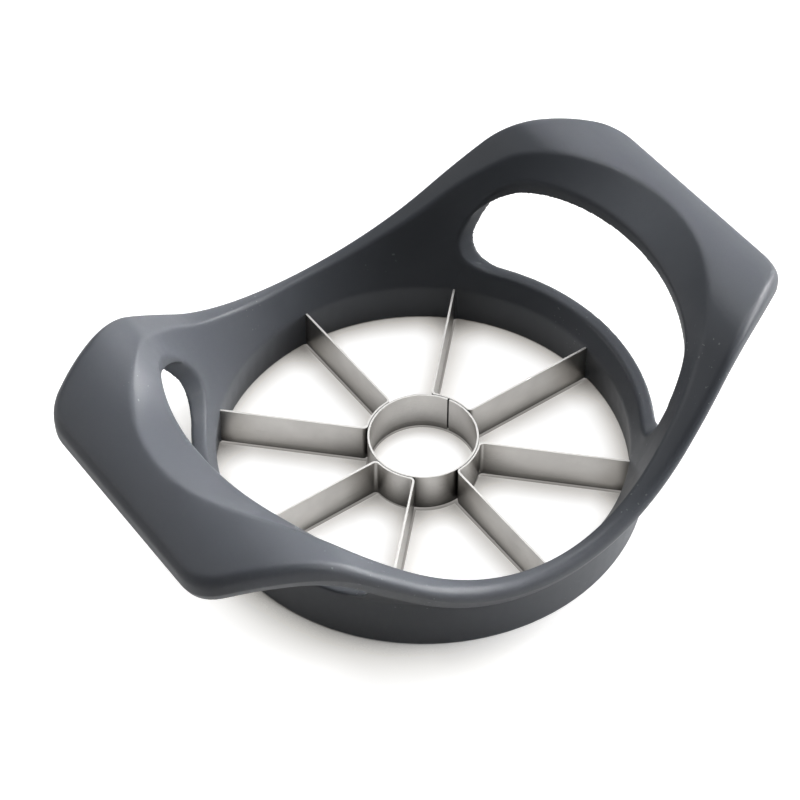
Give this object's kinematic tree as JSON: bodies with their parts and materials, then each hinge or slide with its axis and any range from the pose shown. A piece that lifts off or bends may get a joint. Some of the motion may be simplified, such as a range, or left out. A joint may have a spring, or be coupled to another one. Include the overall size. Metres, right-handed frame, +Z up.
{
  "type": "apple slicer",
  "caption": "Hand-held apple slicer and corer: moulded frame with two raised loop handles around a star of thin steel blades.",
  "frame": {"origin": "on the resting plane, on the axis of the core ring", "axes": "+X along the two handles, +Y across the ring, +Z up, away from the cutting edges"},
  "size_m": [0.16, 0.11, 0.0484],
  "materials": {
    "frame_plastic": "satin moulded, dark slate grey",
    "blade_steel": "brushed stainless"
  },
  "bodies": {
    "root": {"frame": "frame_plastic", "core_ring": "blade_steel", "blade_strip_1": "blade_steel", "blade_strip_2": "blade_steel", "blade_strip_3": "blade_steel", "blade_strip_4": "blade_steel"}
  },
  "joints": []
}
